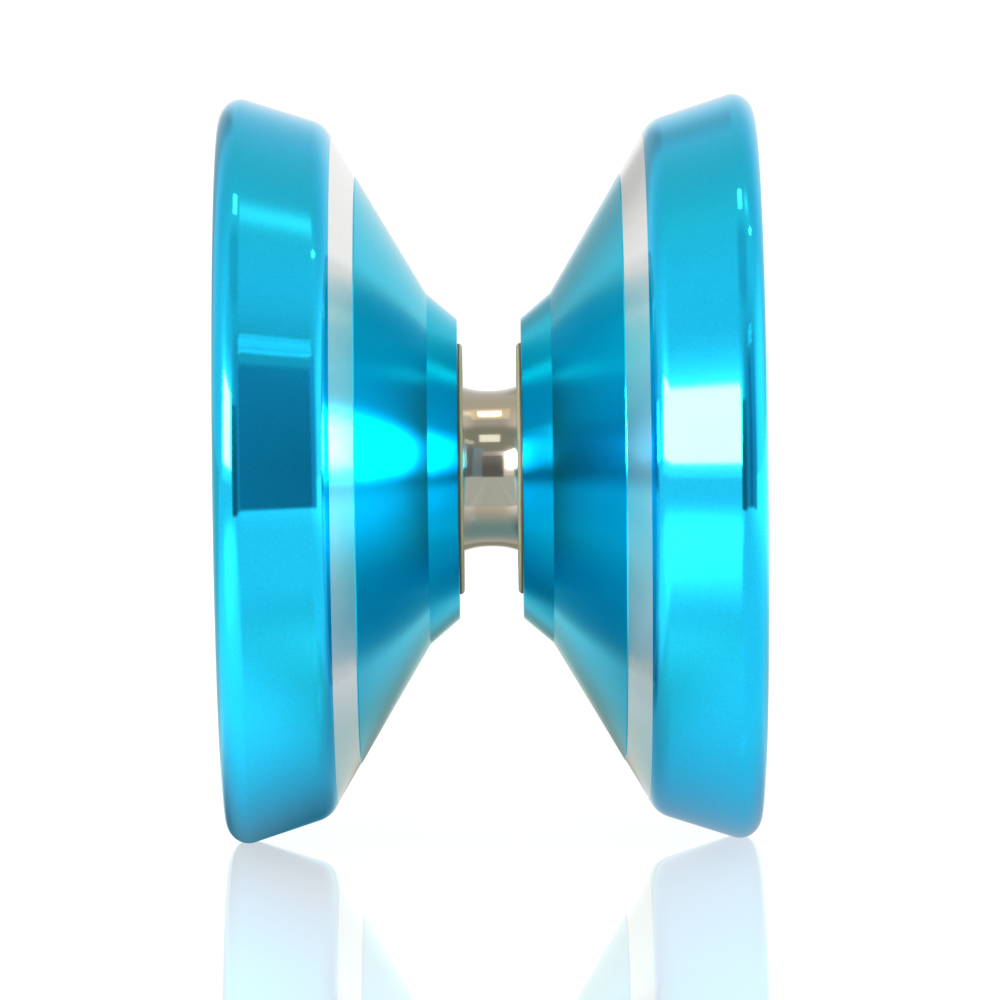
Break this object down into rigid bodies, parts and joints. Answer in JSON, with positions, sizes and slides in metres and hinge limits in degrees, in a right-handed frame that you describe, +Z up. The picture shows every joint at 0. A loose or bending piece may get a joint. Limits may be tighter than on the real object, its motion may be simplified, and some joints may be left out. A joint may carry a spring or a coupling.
{
  "type": "yo-yo",
  "caption": "Wide-gap ball-bearing yo-yo of two turned aluminium halves screwed onto a threaded axle, with soft response pads and a concave bearing.",
  "frame": {"origin": "the centre of the bearing, in the middle of the string gap and on the axle's axis", "axes": "+X along the axle, from the left half to the right half; +Z up, as the yo-yo stands on its two rims"},
  "size_m": [0.0406, 0.0564, 0.0564],
  "materials": {
    "anodised_aluminium": "gloss",
    "axle_steel": "satin",
    "race_steel": "polished",
    "polished_steel": "polished",
    "cage_steel": "satin",
    "shield_steel": "satin",
    "spring_steel": "satin",
    "ball_steel": "polished",
    "silicone": "matte"
  },
  "bodies": {
    "left": {"left_half": "anodised_aluminium", "response_pad_left": "silicone", "axle": "axle_steel"},
    "bearing_inner": {"bearing_inner_race": "race_steel"},
    "right": {"right_half": "anodised_aluminium", "response_pad_right": "silicone"},
    "bearing_outer": {"bearing_outer_race": "polished_steel", "bearing_shield_left": "shield_steel", "bearing_shield_right": "shield_steel", "bearing_snap_ring_left": "spring_steel", "bearing_snap_ring_right": "spring_steel"},
    "bearing_cage": {"bearing_cage": "cage_steel"},
    "ball_1": {"bearing_ball_1": "ball_steel"},
    "ball_2": {"bearing_ball_2": "ball_steel"},
    "ball_3": {"bearing_ball_3": "ball_steel"},
    "ball_4": {"bearing_ball_4": "ball_steel"},
    "ball_5": {"bearing_ball_5": "ball_steel"},
    "ball_6": {"bearing_ball_6": "ball_steel"},
    "ball_7": {"bearing_ball_7": "ball_steel"},
    "ball_8": {"bearing_ball_8": "ball_steel"},
    "ball_9": {"bearing_ball_9": "ball_steel"},
    "ball_10": {"bearing_ball_10": "ball_steel"}
  },
  "joints": [
    {"name": "half_travel", "type": "slide", "parent": "left", "child": "bearing_inner", "axis": [1, 0, 0], "range_m": [0, 0.007]},
    {"name": "half_unscrew", "type": "hinge", "parent": "bearing_inner", "child": "right", "pos_m": [0, 0, 0], "axis": [1, 0, 0], "range_deg": [0, 3605]},
    {"name": "bearing_spin", "type": "hinge", "parent": "bearing_inner", "child": "bearing_outer", "pos_m": [0, 0, 0], "axis": [1, 0, 0], "continuous": true},
    {"name": "cage_orbit", "type": "hinge", "parent": "bearing_inner", "child": "bearing_cage", "pos_m": [0, 0, 0], "axis": [1, 0, 0], "continuous": true},
    {"name": "ball_1_spin", "type": "hinge", "parent": "bearing_cage", "child": "ball_1", "pos_m": [0, 0, 0.00476], "axis": [1, 0, 0], "continuous": true},
    {"name": "ball_2_spin", "type": "hinge", "parent": "bearing_cage", "child": "ball_2", "pos_m": [0, -0.0028, 0.00385], "axis": [1, 0, 0], "continuous": true},
    {"name": "ball_3_spin", "type": "hinge", "parent": "bearing_cage", "child": "ball_3", "pos_m": [0, -0.00453, 0.00147], "axis": [1, 0, 0], "continuous": true},
    {"name": "ball_4_spin", "type": "hinge", "parent": "bearing_cage", "child": "ball_4", "pos_m": [0, -0.00453, -0.00147], "axis": [1, 0, 0], "continuous": true},
    {"name": "ball_5_spin", "type": "hinge", "parent": "bearing_cage", "child": "ball_5", "pos_m": [0, -0.0028, -0.00385], "axis": [1, 0, 0], "continuous": true},
    {"name": "ball_6_spin", "type": "hinge", "parent": "bearing_cage", "child": "ball_6", "pos_m": [0, 0, -0.00476], "axis": [1, 0, 0], "continuous": true},
    {"name": "ball_7_spin", "type": "hinge", "parent": "bearing_cage", "child": "ball_7", "pos_m": [0, 0.0028, -0.00385], "axis": [1, 0, 0], "continuous": true},
    {"name": "ball_8_spin", "type": "hinge", "parent": "bearing_cage", "child": "ball_8", "pos_m": [0, 0.00453, -0.00147], "axis": [1, 0, 0], "continuous": true},
    {"name": "ball_9_spin", "type": "hinge", "parent": "bearing_cage", "child": "ball_9", "pos_m": [0, 0.00453, 0.00147], "axis": [1, 0, 0], "continuous": true},
    {"name": "ball_10_spin", "type": "hinge", "parent": "bearing_cage", "child": "ball_10", "pos_m": [0, 0.0028, 0.00385], "axis": [1, 0, 0], "continuous": true}
  ],
  "couplings": [
    {"joint": "half_unscrew", "follows": "half_travel", "rad_per_m": 8976},
    {"joint": "cage_orbit", "follows": "bearing_spin", "ratio": 0.58333},
    {"joint": "ball_1_spin", "follows": "bearing_spin", "ratio": 2.9167},
    {"joint": "ball_2_spin", "follows": "bearing_spin", "ratio": 2.9167},
    {"joint": "ball_3_spin", "follows": "bearing_spin", "ratio": 2.9167},
    {"joint": "ball_4_spin", "follows": "bearing_spin", "ratio": 2.9167},
    {"joint": "ball_5_spin", "follows": "bearing_spin", "ratio": 2.9167},
    {"joint": "ball_6_spin", "follows": "bearing_spin", "ratio": 2.9167},
    {"joint": "ball_7_spin", "follows": "bearing_spin", "ratio": 2.9167},
    {"joint": "ball_8_spin", "follows": "bearing_spin", "ratio": 2.9167},
    {"joint": "ball_9_spin", "follows": "bearing_spin", "ratio": 2.9167},
    {"joint": "ball_10_spin", "follows": "bearing_spin", "ratio": 2.9167}
  ]
}
